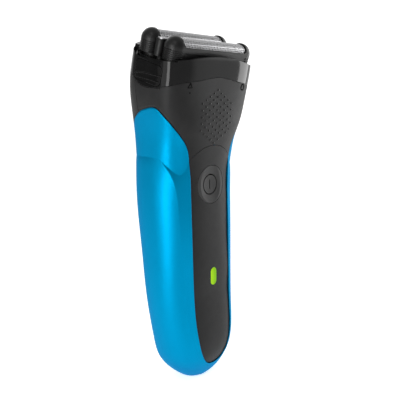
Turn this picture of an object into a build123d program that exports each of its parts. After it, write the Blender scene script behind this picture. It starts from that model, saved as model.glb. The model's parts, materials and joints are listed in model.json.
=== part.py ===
from build123d import *

import os
from math import acos, copysign, cos, pi, radians, sin

os.makedirs("parts", exist_ok=True)

# Electric foil shaver: a handle that flares into a head leaning forwards, with a lift-off cassette
# that carries two sprung foils and a sprung middle trimmer. Millimetres, +Z up the handle, -Y front.

# ---------------------------------------------------------------- driving dimensions
WALL = 1.8  # thickness of the casing walls
SEAM = 0.2  # gap that shows as a parting line between two shells
FIT = 0.06  # clearance of a running fit, on the radius
REACH = 60.0  # longer than the body is wide or deep, for cutters that pass right through

HEAD_LEAN = 19.0  # degrees that the head leans forwards
HEAD_ORIGIN = (0, 0.34, 136.09)  # where the head's own axes start, at the collar

# The body's smooth skin from the base up: height, centre y, lean, half width, half depth, power.
BODY_SKIN = [
    (0.0, 0.0, 0, 6.6, 5.2, 2.3),
    (2.4, 0.0, 0, 9.7, 7.8, 2.3),
    (6.0, 0.0, 0, 13.4, 10.8, 2.35),
    (12.0, 0.0, 0, 17.5, 13.7, 2.4),
    (20.0, 0.1, 0, 19.5, 14.8, 2.4),
    (32.0, 1.1, 0, 20.9, 14.9, 2.42),
    (46.0, 2.1, 0, 21.7, 15.1, 2.48),
    (62.0, 2.8, 0, 21.9, 15.5, 2.55),
    (78.0, 3.6, 0, 22.0, 16.0, 2.62),
    (90.0, 3.9, 0, 22.0, 16.1, 2.66),
    (98.0, 3.7, 0, 22.1, 16.0, 2.7),
    (104.0, 3.2, 0, 22.5, 16.1, 2.75),
    (110.0, 2.5, 0, 23.0, 16.3, 2.85),
    (120.0, 1.1, 9, 24.5, 17.0, 3.1),
    (128.5, 0.1, 16, 26.0, 17.0, 3.5),
]
# The same skin above the collar, in the head's axes: height, centre, half width, half depth, power.
HEAD_SKIN = [
    (2.0, -1.4, 26.4, 16.2, 4.2),
    (8.0, -1.0, 26.5, 15.5, 4.5),
    (16.0, -0.6, 25.8, 15.2, 4.5),
]
# The grip's raised pads: height, centre y, half width, half depth, power, ridge x, panel edge x, lift.
GRIP_PAD = [
    (0.0, 0.0, 7.2, 5.8, 2.3, 2.5, 2.0, 0.3),
    (2.4, 0.0, 10.4, 8.5, 2.3, 3.9, 3.1, 0.3),
    (6.0, 0.0, 14.2, 11.2, 2.35, 6.0, 4.7, 0.3),
    (12.0, 0.0, 18.3, 13.9, 2.4, 9.6, 7.5, 0.3),
    (20.0, 0.1, 20.3, 15.0, 2.4, 12.9, 10.3, 0.35),
    (32.0, 1.1, 21.7, 15.1, 2.42, 14.8, 11.6, 0.35),
    (46.0, 2.1, 22.5, 15.3, 2.48, 15.7, 12.0, 0.35),
    (62.0, 2.8, 22.7, 15.7, 2.55, 16.5, 12.3, 0.35),
    (78.0, 3.6, 22.9, 16.2, 2.62, 17.2, 12.4, 0.35),
    (90.0, 3.9, 22.9, 16.3, 2.66, 17.8, 12.4, 0.35),
    (98.0, 3.7, 22.8, 16.2, 2.7, 19.6, 12.5, 0.35),
    (101.5, 3.5, 22.8, 16.2, 2.7, 21.0, 12.6, 0.2),
    (104.5, 3.2, 22.7, 16.1, 2.75, 22.0, 12.9, -0.1),
    (107.5, 2.8, 22.3, 15.6, 2.8, 22.1, 13.2, -0.8),
]
# Front view of the dark casing's edge against the grip, right half: x and z from the tip upwards.
CASING_EDGE = [
    (3.6, 8.9),
    (6.6, 11.3),
    (8.9, 15.0),
    (10.4, 19.6),
    (11.3, 25.0),
    (11.8, 32.0),
    (12.1, 44.0),
    (12.2, 60.0),
    (12.2, 80.0),
    (12.3, 94.0),
    (12.8, 102.0),
    (14.2, 108.4),
    (17.0, 112.8),
    (19.9, 116.2),
    (22.7, 119.9),
    (24.7, 123.2),
    (26.0, 126.4),
    (28.2, 129.4),
    (31.0, 131.6),
]
NECK_Z = 90.0  # the skin is only needed from here up for the head's own pieces
CASING_TIP = 8.1  # lowest point of that edge
CASING_PARTING = 5.0  # y of the plane between the front and rear casings
PANEL_ARC = ((13.0, 103.3), 109.3)  # ends and top of the seam over the switch panel

# Collar line between the casing and the gloss head, in the head's axes.
COLLAR_FRONT = [(26.4, -8.0), (25.2, 1.4), (21.0, 3.8), (14.0, 5.1), (8.0, 6.1)]
COLLAR_FRONT_TOP = 7.0
COLLAR_SIDE = [(-22, 4.6), (-14.2, 1.4), (-6.1, -0.9), (-1.0, -1.8), (4.4, -0.9), (10, 2), (20, 6.5)]
COLLAR_SIDES_V = (-10.0, 8.0)  # front to back, the stretch where only the side line applies
# Top edge of the gloss head, seen from the front and on its sides.
RIM_FRONT = [(29.0, 10.2), (25.0, 11.7), (21.0, 12.5), (17.5, 13.2), (10.0, 14.4)]
RIM_FRONT_TOP = 15.0
RIM_SIDE = [(-20, 12.6), (-16.7, 11.9), (-7.0, 10.4), (0.9, 9.2), (4.5, 8.9), (9, 9.8), (20, 13.5)]
RIM_SIDE_FROM = 22.8  # half width beyond which the side edge applies

# Cassette, in the head's axes.
CENTRE_V = -1.0  # middle of the head, front to back
POCKET = (25.1, 13.9, 4.5)  # half width, half depth and power of the well in the gloss head
POCKET_FLOOR = -1.5
TRAY = (24.8, 13.5, 4.5)
TRAY_WELL = (23.3, 12.6, 4.5)
TRAY_BOTTOM, TRAY_FLOOR, TRAY_TOP = 1.5, 2.7, 9.4
TRAY_FLAT = 24.2  # half width across the flats beside the release buttons
FOIL_V = {"front": -8.0, "rear": 5.8}  # middle of each foil, front to back
FOIL_FLOAT = 1.2  # how far a foil is pushed in
FOIL_RADIUS = 4.5  # outside of the foil frame
FOIL_SHEET = (3.8, 4.05)  # inside and outside of the foil sheet
FOIL_AXIS_W = 15.7  # height of the foil's axis
FOIL_HALF = 24.6  # half length of a foil frame
FOIL_WINDOW = 19.6  # half length of its opening
PLUG_HALF = 22.4  # half length of the part of the frame inside the tray
PLUG_BOTTOM, PLUG_TOP = 8.0, 10.7
RIB_PITCH = 0.75
RIB_COUNT = 6
CUTTER_RADIUS = 3.65
CUTTER_HALF = 17.4
CUTTER_SPINE = (12.4, 16.2, 1.6)  # bottom, top and half width
CUTTER_BLADE = 0.5
CUTTER_COUNT = 21
STROKE = 0.9  # drive travel each side of the middle
PEG_RADIUS = 1.0
PEG_TOP = 13.0
TRIMMER_V = -1.1
TRIMMER_HALF = (23.6, 1.95)
TRIMMER_TOOTH_PITCH = 1.3
SPRING_SEAT_X = 18.0

# Release buttons in the head's sides.
RELEASE_V, RELEASE_W = (-9.4, 5.6), (0.2, 8.2)
RELEASE_BACK = 25.3  # inner face
RELEASE_TRAVEL = 0.9
RELEASE_GAP = 0.22
RELEASE_CORNER = 2.2

# Drive.
MOTOR_Y = 8.0
MOTOR_Z = (93.0, 117.6)
MOTOR_RADIUS, MOTOR_FLAT = 10.1, 7.7
SHAFT_RADIUS = 1.0
DRIVE_PIN_RADIUS = 1.6
PLATE_GAP, SEAL_GAP, TRAY_GAP = 0.6, 0.3, 0.4  # clearance of the holes it passes through
BRIDGE_Z = (123.0, 125.0)
ECCENTRIC = 0.9

# Handle contents.
BATTERY_RADIUS, BATTERY_Y, BATTERY_Z = 7.1, 3.6, (24.0, 74.0)
BOARD_Y, BOARD_THICK = -6.6, 1.2
BUTTON_Z, BUTTON_RADIUS, BUTTON_TRAVEL = 92.2, 8.3, 0.6
BUTTON_BACK = -10.5
WINDOW_Z, WINDOW_SIZE = 50.4, (8.1, 3.8)
SOCKET = (12.0, 9.0)
SOCKET_RECESS = (10.0, 6.4)
SOCKET_DEPTH = 9.0


# ---------------------------------------------------------------- shared shapes and planes
def head_plane(height=0.0):
    """A plane across the head's axis: local x to the right, local y to the back."""
    lean = radians(HEAD_LEAN)
    up = Vector(0, -sin(lean), cos(lean))
    return Plane(origin=Vector(*HEAD_ORIGIN) + up * height, x_dir=(1, 0, 0), z_dir=up)


def head_front(v=0.0):
    """A plane facing the front of the head: local x to the right, local y up the head."""
    base = head_plane()
    return Plane(origin=base.from_local_coords(Vector(0, v, 0)), x_dir=(1, 0, 0), z_dir=-base.y_dir)


def head_side(x=0.0):
    """A plane facing the side of the head: local x to the back, local y up the head."""
    base = head_plane()
    return Plane(origin=base.from_local_coords(Vector(x, 0, 0)), x_dir=base.y_dir, z_dir=(1, 0, 0))


def signed_power(value, exponent):
    return copysign(abs(value) ** exponent, value)


def oval_points(half_x, half_y, power, centre_y=0.0, count=28):
    """Points round a superellipse, the plan shape of the body at every height."""
    turns = [2 * pi * i / count for i in range(count)]
    return [
        (half_x * signed_power(cos(t), 2 / power), centre_y + half_y * signed_power(sin(t), 2 / power))
        for t in turns
    ]


def oval(half_x, half_y, power, centre_y=0.0):
    """A superellipse as a face."""
    with BuildSketch() as face:
        with BuildLine():
            Spline(*oval_points(half_x, half_y, power, centre_y), periodic=True)
        make_face()
    return face.sketch_local


def skin(inset=0.0, floor=0.0):
    """The body's smooth outside from base to head, or its inside when it is inset."""
    with BuildPart() as body:
        for z, y, lean, half_x, half_y, power in BODY_SKIN:
            if z < floor:
                continue
            tilt = radians(lean)
            plane = Plane(origin=(0, y, z), x_dir=(1, 0, 0), z_dir=(0, -sin(tilt), cos(tilt)))
            with BuildSketch(plane):
                add(oval(half_x - inset, half_y - inset, power))
        for w, v, half_x, half_y, power in HEAD_SKIN:
            with BuildSketch(head_plane(w)):
                add(oval(half_x - inset, half_y - inset, power, v))
        loft()
    return body.part


def front_of(half_x, half_y, power, centre_y, x):
    """The y of a superellipse's front at a given x."""
    return centre_y - half_y * (1 - (abs(x) / half_x) ** power) ** (1 / power)


def grip_pads():
    """The grip's raised outside: a flat facet beside the panel, a ridge, then a full round side."""
    with BuildPart() as pads:
        for z, y, half_x, half_y, power, ridge_x, edge_x, lift in GRIP_PAD:
            edge_y = front_of(half_x, half_y, power, y, edge_x) - lift
            ridge_y = front_of(half_x, half_y, power, y, ridge_x)
            start = acos(ridge_x / half_x)
            depth = (y - ridge_y) / sin(start)
            side = [(half_x * cos(start * k / 5), y - depth * sin(start * k / 5)) for k in range(5, 0, -1)]
            back = [(x, v) for x, v in oval_points(half_x, half_y, power, y) if v > y + 1e-6]
            right = side + [(half_x, y)] + [p for p in back if p[0] > 1e-6]
            left = [(-x, v) for x, v in reversed(right)]
            with BuildSketch(Plane.XY.offset(z)):
                with BuildLine():
                    ThreePointArc((-edge_x, edge_y), (0, y - half_y - lift), (edge_x, edge_y))
                    Line((edge_x, edge_y), (ridge_x, ridge_y))
                    Spline(*right, (0, y + half_y), *left)
                    Line((-ridge_x, ridge_y), (-edge_x, edge_y))
                make_face()
        loft()
    return pads.part


def casing_prism(gap=0.0):
    """What the dark casing takes of the body, seen from the front, right through the body."""
    right = [(x - gap, z + gap) for x, z in CASING_EDGE]
    top = REACH * 3
    with BuildPart() as prism:
        with BuildSketch(Plane.XZ):
            with BuildLine():
                Spline(*[(-x, z) for x, z in reversed(right)], (0, CASING_TIP + gap), *right)
                Polyline(right[-1], (right[-1][0], top), (-right[-1][0], top), (-right[-1][0], right[-1][1]))
            make_face()
        extrude(amount=REACH, both=True)
    return prism.part


def mirrored_points(right, middle):
    """A full row of points from its right half, listed from the outside in, and its middle."""
    return [(-x, w) for x, w in right] + [(0, middle)] + list(reversed(right))


def below_collar(gap=0.0):
    """Everything under the collar line, which runs over the front, round the sides and behind."""
    front = [(x, w + gap) for x, w in mirrored_points(COLLAR_FRONT, COLLAR_FRONT_TOP)]
    side = [(v, w + gap) for v, w in COLLAR_SIDE]
    nearest, farthest = COLLAR_SIDES_V
    cuts = [(head_front(nearest), front, REACH), (head_front(farthest), front, -REACH)]
    cuts += [(head_side(), side, REACH), (head_side(), side, -REACH)]
    with BuildPart() as under:
        for plane, row, far in cuts:
            with BuildSketch(plane):
                with BuildLine():
                    Spline(*row)
                    Polyline(row[-1], (row[-1][0], -3 * REACH), (row[0][0], -3 * REACH), row[0])
                make_face()
            extrude(amount=far)
    return under.part


def stadium(half_length, radius, centre_y):
    """A bar with round ends in the sketch that is open, half_length measured to the tip."""
    with Locations((0, centre_y)):
        SlotOverall(2 * half_length, 2 * radius)


def coil(radius, wire, low, high, turns, place):
    """A helical spring between two ends along the place's own z."""
    path = place * Pos(0, 0, low) * Helix((high - low) / turns, high - low, radius)
    with BuildPart() as spring:
        with BuildSketch(Plane(path @ 0, z_dir=path % 0)):
            Circle(wire)
        sweep(path=path)
    return spring.part


def save(part, name):
    """Labels a finished piece and writes it."""
    part.label = name
    export_step(part, f"parts/{name}.step")


OUTSIDE = skin()
INSIDE = skin(WALL, 2.0)
BELOW_COLLAR = below_collar()
with BuildPart() as well:
    with BuildSketch(head_plane(POCKET_FLOOR)):
        add(oval(*POCKET, CENTRE_V))
    extrude(amount=REACH)
POCKET_WELL = well.part

# ---------------------------------------------------------------- handle shells
# Grip shell: both blue sides and the base in one piece, open at the front and the back.
with BuildPart() as grip_shell:
    add(grip_pads())
    add(OUTSIDE)
    add(INSIDE, mode=Mode.SUBTRACT)
    add(casing_prism(), mode=Mode.SUBTRACT)
    with BuildSketch():
        SlotOverall(SOCKET[0] + SEAM, SOCKET[1] + SEAM)
    extrude(amount=SOCKET_DEPTH, mode=Mode.SUBTRACT)
save(grip_shell.part, "grip_shell")

CASING = casing_prism(SEAM)


def above_panel(gap=0.0):
    """The front view above the arc over the switch panel, in front of the parting plane."""
    (end_x, end_z), top = PANEL_ARC
    with BuildPart() as region:
        with BuildSketch(Plane.XZ.offset(-CASING_PARTING)):
            with BuildLine():
                ThreePointArc((-end_x, end_z + gap), (0, top + gap), (end_x, end_z + gap))
                Polyline(
                    (end_x, end_z + gap),
                    (REACH, end_z + gap),
                    (REACH, 4 * REACH),
                    (-REACH, 4 * REACH),
                    (-REACH, end_z + gap),
                    (-end_x, end_z + gap),
                )
            make_face()
        extrude(amount=REACH)
    return region.part


# Front casing: the collar and the textured upper front.
with BuildPart() as front_casing:
    add(OUTSIDE)
    add(INSIDE, mode=Mode.SUBTRACT)
    add(CASING, mode=Mode.INTERSECT)
    add(BELOW_COLLAR, mode=Mode.INTERSECT)
    add(above_panel(SEAM), mode=Mode.INTERSECT)
    add(POCKET_WELL, mode=Mode.SUBTRACT)
save(front_casing.part, "front_casing")

# Switch panel: the long front panel below the arc, with holes for the button and the light.
with BuildPart() as switch_panel:
    add(OUTSIDE)
    add(INSIDE, mode=Mode.SUBTRACT)
    add(CASING, mode=Mode.INTERSECT)
    add(above_panel(), mode=Mode.SUBTRACT)
    with BuildSketch(Plane.XZ.offset(-CASING_PARTING)):
        with Locations((0, REACH)):
            Rectangle(2 * REACH, 2 * REACH)
    extrude(amount=REACH, mode=Mode.INTERSECT)
    with BuildSketch(Plane.XZ):
        with Locations((0, BUTTON_Z)):
            Circle(BUTTON_RADIUS + 0.2)
        with Locations((0, WINDOW_Z)):
            SlotOverall(WINDOW_SIZE[0] + 0.1, WINDOW_SIZE[1] + 0.1, rotation=90)
    extrude(amount=REACH, mode=Mode.SUBTRACT)
save(switch_panel.part, "switch_panel")

# Rear casing: the back of the collar and the rear panel in one piece.
with BuildPart() as rear_casing:
    add(OUTSIDE)
    add(INSIDE, mode=Mode.SUBTRACT)
    add(CASING, mode=Mode.INTERSECT)
    add(BELOW_COLLAR, mode=Mode.INTERSECT)
    with BuildSketch(Plane.XZ.offset(-CASING_PARTING - SEAM)):
        with Locations((0, REACH)):
            Rectangle(2 * REACH, 4 * REACH)
    extrude(amount=-REACH, mode=Mode.INTERSECT)
    add(POCKET_WELL, mode=Mode.SUBTRACT)
save(rear_casing.part, "rear_casing")


# ---------------------------------------------------------------- head, fixed to the handle
def above_rim():
    """Everything over the gloss head's top edge, arched in front and behind, lower at the sides."""
    front = mirrored_points(RIM_FRONT, RIM_FRONT_TOP)
    with BuildPart() as over:
        with BuildSketch(head_front()):
            with BuildLine():
                Spline(*front)
                Polyline(front[-1], (front[-1][0], REACH), (front[0][0], REACH), front[0])
            make_face()
        extrude(amount=REACH, both=True)
        with BuildSketch(head_side(RIM_SIDE_FROM)):
            with BuildLine():
                Spline(*RIM_SIDE)
                Polyline(RIM_SIDE[-1], (RIM_SIDE[-1][0], REACH), (RIM_SIDE[0][0], REACH), RIM_SIDE[0])
            make_face()
        side = extrude(amount=REACH)
        mirror(side, about=Plane.YZ)
    return over.part


def release_outline(start, gap=0.0):
    """The outline of the right-hand release button, run outwards from a distance off the middle."""
    (low_v, high_v), (low_w, high_w) = RELEASE_V, RELEASE_W
    with BuildPart() as block:
        with BuildSketch(head_side(start)):
            with Locations(((low_v + high_v) / 2, (low_w + high_w) / 2)):
                RectangleRounded(high_v - low_v + 2 * gap, high_w - low_w + 2 * gap, RELEASE_CORNER)
        extrude(amount=REACH)
    return block.part


# Gloss head: the ring round the cassette, with a hole in each side for a release button.
RELEASE_HOLE = release_outline(RELEASE_BACK - RELEASE_TRAVEL - 2 * RELEASE_GAP, RELEASE_GAP)
with BuildPart() as head_frame:
    add(OUTSIDE)
    add(below_collar(SEAM), mode=Mode.SUBTRACT)
    add(above_rim(), mode=Mode.SUBTRACT)
    with BuildSketch(head_plane(-REACH / 4)):
        add(oval(*POCKET, CENTRE_V))
    extrude(amount=REACH, mode=Mode.SUBTRACT)
    add(RELEASE_HOLE, mode=Mode.SUBTRACT)
    add(mirror(RELEASE_HOLE, about=Plane.YZ, mode=Mode.PRIVATE), mode=Mode.SUBTRACT)
save(head_frame.part, "head_frame")

# Head plate: closes the handle under the cassette, with posts for the release springs.
SPRING_V, SPRING_W, SPRING_X = -2.0, 0.1, (14.5, 20.0)
PLATE_W = (-3.4, -1.7)
POST = (1.1, 2.4, 2.8)  # width, depth and height of the posts the release springs push on
INNER_FIT = WALL + 0.1  # how far a plate that fits inside the walls stands in from the skin
with BuildPart() as head_plate:
    add(skin(INNER_FIT, NECK_Z))
    with BuildSketch(head_plane(PLATE_W[0])):
        Rectangle(2 * REACH, 2 * REACH)
    extrude(amount=PLATE_W[1] - PLATE_W[0], mode=Mode.INTERSECT)
    with BuildSketch(head_plane(PLATE_W[1])):
        with Locations((SPRING_X[0] - POST[0] / 2, SPRING_V), (POST[0] / 2 - SPRING_X[0], SPRING_V)):
            Rectangle(POST[0], POST[1])
    extrude(amount=POST[2])
    with BuildSketch(head_plane(PLATE_W[0])):
        stadium(DRIVE_PIN_RADIUS + STROKE + PLATE_GAP, DRIVE_PIN_RADIUS + PLATE_GAP, CENTRE_V)
    extrude(amount=REACH, mode=Mode.SUBTRACT)
save(head_plate.part, "head_plate")

# Drive seal: the rubber lip round the drive pin, on top of the head plate.
SEAL_FOOT, SEAL_LIP = (6.4, 4.6, 1.0), (5.2, 3.6, 0.8)  # half length, half width and height
with BuildPart() as drive_seal:
    with BuildSketch(head_plane(PLATE_W[1])):
        stadium(SEAL_FOOT[0], SEAL_FOOT[1], CENTRE_V)
    extrude(amount=SEAL_FOOT[2])
    with BuildSketch(head_plane(PLATE_W[1] + SEAL_FOOT[2])):
        stadium(SEAL_LIP[0], SEAL_LIP[1], CENTRE_V)
    extrude(amount=SEAL_LIP[2])
    with BuildSketch(head_plane(PLATE_W[1])):
        stadium(DRIVE_PIN_RADIUS + STROKE + SEAL_GAP, DRIVE_PIN_RADIUS + SEAL_GAP, CENTRE_V)
    extrude(amount=REACH, mode=Mode.SUBTRACT)
save(drive_seal.part, "drive_seal")

# Release buttons: pressed in from both sides to free the cassette. Two grip ridges and an inner tab.
RIDGES = [
    [(-9.0, 4.3), (-4.2, 3.9), (0.0, 3.3), (4.6, 2.2)],
    [(-9.0, 1.9), (-4.0, 1.7), (0.5, 1.2), (4.6, 0.6)],
]
RIDGE_WIDE, RIDGE_PROUD = 0.55, 0.35
TAB = (2.0, 1.0)
with BuildPart() as release_right:
    add(OUTSIDE)
    add(release_outline(RELEASE_BACK), mode=Mode.INTERSECT)
    with BuildSketch(head_side(SPRING_X[1])):
        with Locations((SPRING_V, RELEASE_W[0] + TAB[1] / 2)):
            Rectangle(*TAB)
    extrude(amount=RELEASE_BACK + 0.3 - SPRING_X[1])
with BuildPart() as release_ridges:
    with BuildSketch(head_side(RELEASE_BACK)):
        for row in RIDGES:
            raised = [(v, w + RIDGE_WIDE) for v, w in row]
            with BuildLine():
                Spline(*row)
                Line(row[-1], raised[-1])
                Spline(*reversed(raised))
                Line(raised[0], row[0])
            make_face()
    extrude(amount=REACH)
    add(skin(-RIDGE_PROUD, NECK_Z), mode=Mode.INTERSECT)
with BuildPart() as release_button_right:
    add(release_right.part)
    add(release_ridges.part)
save(release_button_right.part, "release_button_right")
save(mirror(release_button_right.part, about=Plane.YZ), "release_button_left")
spring_origin = head_plane().from_local_coords(Vector(0, SPRING_V, SPRING_W))
for side, direction in (("right", 1), ("left", -1)):
    spring_place = Plane(origin=spring_origin, z_dir=(direction, 0, 0)).location
    save(coil(0.8, 0.15, SPRING_X[0] + 0.2, SPRING_X[1] - 0.2, 7, spring_place), f"release_spring_{side}")

# ---------------------------------------------------------------- cassette
with BuildPart() as cassette_frame:
    with BuildSketch(head_plane(TRAY_BOTTOM)):
        add(oval(*TRAY, CENTRE_V))
    extrude(amount=TRAY_TOP - TRAY_BOTTOM)
    with BuildSketch(head_plane(TRAY_FLOOR)):
        add(oval(*TRAY_WELL, CENTRE_V))
    extrude(amount=REACH, mode=Mode.SUBTRACT)
    with BuildSketch(head_side(TRAY_FLAT)):
        with Locations((sum(RELEASE_V) / 2, TRAY_BOTTOM)):
            Rectangle(RELEASE_V[1] - RELEASE_V[0] + 2, 2 * (RELEASE_W[1] + 0.8 - TRAY_BOTTOM))
    flat = extrude(amount=REACH, mode=Mode.SUBTRACT)
    mirror(flat, about=Plane.YZ, mode=Mode.SUBTRACT)
    with BuildSketch(head_plane(0)):
        stadium(DRIVE_PIN_RADIUS + STROKE + TRAY_GAP, DRIVE_PIN_RADIUS + TRAY_GAP, CENTRE_V)
    extrude(amount=TRAY_FLOOR + 1, mode=Mode.SUBTRACT)
save(cassette_frame.part, "cassette_frame")

DOME_HALF = FOIL_HALF - FOIL_RADIUS  # half length of the foil frame's straight top
SLOT_HALF = (19.9, 2.6)  # slot up the frame for the cutter's spine
RIB_FROM = 19.6  # half width beyond which the frame's ends are ribbed
BAND_SAG = (14.2, 15.3)  # lower edge of the frame's band, in the middle and at the ends


def foil_frame(v):
    """A column with ribbed ends under a round-topped band, open along the top for its foil."""
    with BuildPart() as ribs:
        for k in range(RIB_COUNT):
            with BuildSketch(head_plane(PLUG_TOP + 0.1 + k * RIB_PITCH)):
                stadium(FOIL_HALF, FOIL_RADIUS, v)
            extrude(amount=RIB_PITCH / 2)
        with BuildSketch(head_plane(0)):
            Rectangle(2 * RIB_FROM, REACH)
        extrude(amount=REACH, mode=Mode.SUBTRACT)
    with BuildPart() as band:
        with BuildSketch(head_plane(BAND_SAG[0])):
            stadium(FOIL_HALF, FOIL_RADIUS, v)
        extrude(amount=FOIL_AXIS_W - BAND_SAG[0])
        with BuildSketch(head_front()):
            with BuildLine():
                low = (-REACH, BAND_SAG[1])
                Polyline((FOIL_HALF, BAND_SAG[1]), (REACH, BAND_SAG[1]), (REACH, 0), (-REACH, 0), low)
                Line(low, (-FOIL_HALF, BAND_SAG[1]))
                ThreePointArc((-FOIL_HALF, BAND_SAG[1]), (0, BAND_SAG[0]), (FOIL_HALF, BAND_SAG[1]))
            make_face()
        extrude(amount=REACH, both=True, mode=Mode.SUBTRACT)
    with BuildPart() as dome:
        with BuildSketch(head_side(-DOME_HALF)):
            with Locations((v, FOIL_AXIS_W)):
                Circle(FOIL_RADIUS)
        extrude(amount=2 * DOME_HALF)
        tips = [head_plane().from_local_coords(Vector(x, v, FOIL_AXIS_W)) for x in (-DOME_HALF, DOME_HALF)]
        with Locations(*tips):
            Sphere(FOIL_RADIUS)
        with BuildSketch(head_plane(FOIL_AXIS_W)):
            Rectangle(3 * REACH, 3 * REACH)
        extrude(amount=-REACH, mode=Mode.SUBTRACT)
    with BuildPart() as frame:
        with BuildSketch(head_plane(PLUG_BOTTOM)):
            stadium(PLUG_HALF, FOIL_RADIUS - 0.5, v)
        extrude(amount=PLUG_TOP - PLUG_BOTTOM)
        with BuildSketch(head_plane(PLUG_TOP)):
            stadium(FOIL_HALF - 0.45, FOIL_RADIUS - 0.45, v)
        extrude(amount=FOIL_AXIS_W - PLUG_TOP)
        add(ribs.part)
        add(band.part)
        add(dome.part)
        with BuildSketch(head_plane(0)):
            with Locations((0, v)):
                Rectangle(2 * SLOT_HALF[0], 2 * SLOT_HALF[1])
        extrude(amount=FOIL_AXIS_W, mode=Mode.SUBTRACT)
        with BuildSketch(head_side(-DOME_HALF - 0.1)):
            with Locations((v, FOIL_AXIS_W)):
                Circle(FOIL_SHEET[1] + 0.02)
        bore = extrude(amount=2 * DOME_HALF + 0.2, mode=Mode.PRIVATE)
        add(bore & bounding_slab(FOIL_AXIS_W - 0.4), mode=Mode.SUBTRACT)
        with BuildSketch(head_front()):
            with Locations((0, FOIL_AXIS_W + 1.1 + REACH / 2)):
                RectangleRounded(2 * FOIL_WINDOW, REACH, 1.9)
        extrude(amount=REACH, both=True, mode=Mode.SUBTRACT)
    return frame.part


def bounding_slab(height):
    """Everything above a height on the head's axis."""
    with BuildPart() as slab:
        with BuildSketch(head_plane(height)):
            Rectangle(3 * REACH, 3 * REACH)
        extrude(amount=REACH)
    return slab.part


def foil(v):
    """The arched perforated sheet, plain here."""
    with BuildPart() as sheet:
        with BuildSketch(head_side(-DOME_HALF)):
            with BuildLine():
                for radius in FOIL_SHEET:
                    CenterArc((v, FOIL_AXIS_W), radius, 0, 180)
                for end in (-1, 1):
                    Line((v + end * FOIL_SHEET[0], FOIL_AXIS_W), (v + end * FOIL_SHEET[1], FOIL_AXIS_W))
            make_face()
        extrude(amount=2 * DOME_HALF)
    return sheet.part


def cutter(v):
    """Half-round blades on a spine that has a socket for the carrier's peg."""
    with BuildPart() as block:
        with BuildSketch(head_plane(CUTTER_SPINE[0])):
            with Locations((0, v)):
                Rectangle(2 * CUTTER_HALF, 2 * CUTTER_SPINE[2])
        extrude(amount=CUTTER_SPINE[1] - CUTTER_SPINE[0])
        for k in range(CUTTER_COUNT):
            x = -CUTTER_HALF + k * (2 * CUTTER_HALF - CUTTER_BLADE) / (CUTTER_COUNT - 1)
            with BuildSketch(head_side(x)):
                with BuildLine():
                    CenterArc((v, FOIL_AXIS_W), CUTTER_RADIUS, 0, 180)
                    Line((v - CUTTER_RADIUS, FOIL_AXIS_W), (v + CUTTER_RADIUS, FOIL_AXIS_W))
                make_face()
            extrude(amount=CUTTER_BLADE)
        with BuildSketch(head_plane(CUTTER_SPINE[0])):
            with Locations((0, v)):
                Circle(PEG_RADIUS + FIT)
        extrude(amount=PEG_TOP + FOIL_FLOAT + 0.4 - CUTTER_SPINE[0], mode=Mode.SUBTRACT)
    return block.part


for name, v in FOIL_V.items():
    save(foil_frame(v), f"{name}_foil_frame")
    save(foil(v), f"{name}_foil")
    save(cutter(v), f"{name}_cutter")

# Middle trimmer: a narrow column, a toothed metal guard on top and a toothed blade under it.
TRIMMER_SLOT = (20.5, 0.95)
TRIMMER_PEG = (6.0, 0.5, 14.4)
GUARD_W = (17.4, 17.8)
BLADE_W = (13.5, 17.3)
BLADE_SIZE = (37.0, 1.6)
GUARD_SLOTS, BLADE_SLOTS = (0.5, 2.4, 31), (0.6, 2.4, 27)  # width, length and number
with BuildPart() as trimmer_frame:
    with BuildSketch(head_plane(PLUG_BOTTOM)):
        stadium(PLUG_HALF - 0.4, TRIMMER_HALF[1] - 0.2, TRIMMER_V)
    extrude(amount=PLUG_TOP - PLUG_BOTTOM)
    with BuildSketch(head_plane(PLUG_TOP)):
        stadium(TRIMMER_HALF[0], TRIMMER_HALF[1], TRIMMER_V)
    extrude(amount=GUARD_W[0] - PLUG_TOP)
    with BuildSketch(head_plane(0)):
        with Locations((0, TRIMMER_V)):
            Rectangle(2 * TRIMMER_SLOT[0], 2 * TRIMMER_SLOT[1])
    extrude(amount=REACH, mode=Mode.SUBTRACT)
save(trimmer_frame.part, "trimmer_frame")
with BuildPart() as trimmer_guard:
    with BuildSketch(head_plane(GUARD_W[0])):
        stadium(TRIMMER_HALF[0] - 0.5, TRIMMER_HALF[1] - 0.15, TRIMMER_V)
        with Locations((0, TRIMMER_V)):
            with GridLocations(TRIMMER_TOOTH_PITCH, 0, GUARD_SLOTS[2], 1):
                Rectangle(GUARD_SLOTS[0], GUARD_SLOTS[1], mode=Mode.SUBTRACT)
    extrude(amount=GUARD_W[1] - GUARD_W[0])
save(trimmer_guard.part, "trimmer_guard")
with BuildPart() as trimmer_blade:
    with BuildSketch(head_plane(BLADE_W[0])):
        with Locations((0, TRIMMER_V)):
            Rectangle(*BLADE_SIZE)
    extrude(amount=BLADE_W[1] - BLADE_W[0])
    with BuildSketch(head_front(TRIMMER_V)):
        with Locations((0, BLADE_W[1])):
            with GridLocations(TRIMMER_TOOTH_PITCH, 0, BLADE_SLOTS[2], 1):
                Rectangle(BLADE_SLOTS[0], BLADE_SLOTS[1])
    extrude(amount=REACH, both=True, mode=Mode.SUBTRACT)
    with BuildSketch(head_plane(BLADE_W[0])):
        with Locations((TRIMMER_PEG[0], TRIMMER_V)):
            Circle(TRIMMER_PEG[1] + FIT)
    extrude(amount=TRIMMER_PEG[2] + FOIL_FLOAT + 0.3 - BLADE_W[0], mode=Mode.SUBTRACT)
save(trimmer_blade.part, "trimmer_blade")

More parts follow.
